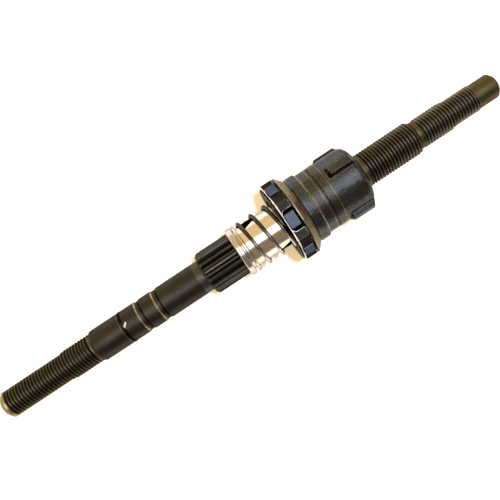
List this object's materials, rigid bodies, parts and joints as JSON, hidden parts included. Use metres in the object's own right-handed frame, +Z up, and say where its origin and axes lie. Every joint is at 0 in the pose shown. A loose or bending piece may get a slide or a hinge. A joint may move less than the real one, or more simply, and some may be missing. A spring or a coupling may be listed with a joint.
{
  "type": "geared hub axle assembly",
  "caption": "Bicycle gear hub axle with integral sun pinion, spring-loaded dog clutch and a lugged driver that turns on the axle.",
  "frame": {"origin": "on the axle's centre line, half way between its two ends", "axes": "+X along the axle towards the short threaded end and pilot, +Z up"},
  "size_m": [0.182, 0.027, 0.027],
  "materials": {
    "black_oxide_axle": "satin black oxide, olive brown sheen",
    "black_oxide_driver": "satin black oxide, case hardened",
    "black_oxide_clutch": "blued black, worn bright on edges",
    "bright_steel": "ground bright",
    "spring_steel": "drawn bright",
    "bush_bronze": "bored bronze"
  },
  "bodies": {
    "axle": {"axle": "black_oxide_axle", "lock_wire": "spring_steel", "spring_collar": "bright_steel", "guide_sleeve": "bright_steel", "key_rear": "black_oxide_clutch", "key_front": "black_oxide_clutch", "spring": "spring_steel"},
    "driver": {"driver": "black_oxide_driver", "driver_bush": "bush_bronze"},
    "clutch": {"dog_wheel": "black_oxide_clutch", "slotted_ring": "black_oxide_clutch"}
  },
  "joints": [
    {"name": "driver_spin", "type": "hinge", "parent": "axle", "child": "driver", "pos_m": [0, 0, 0], "axis": [1, 0, 0], "continuous": true},
    {"name": "clutch_slide", "type": "slide", "parent": "driver", "child": "clutch", "axis": [-1, 0, 0], "range_m": [0, 0.0045], "stiffness_N_per_m": 1500, "springref_m": -0.005, "deforming": ["spring"]}
  ]
}
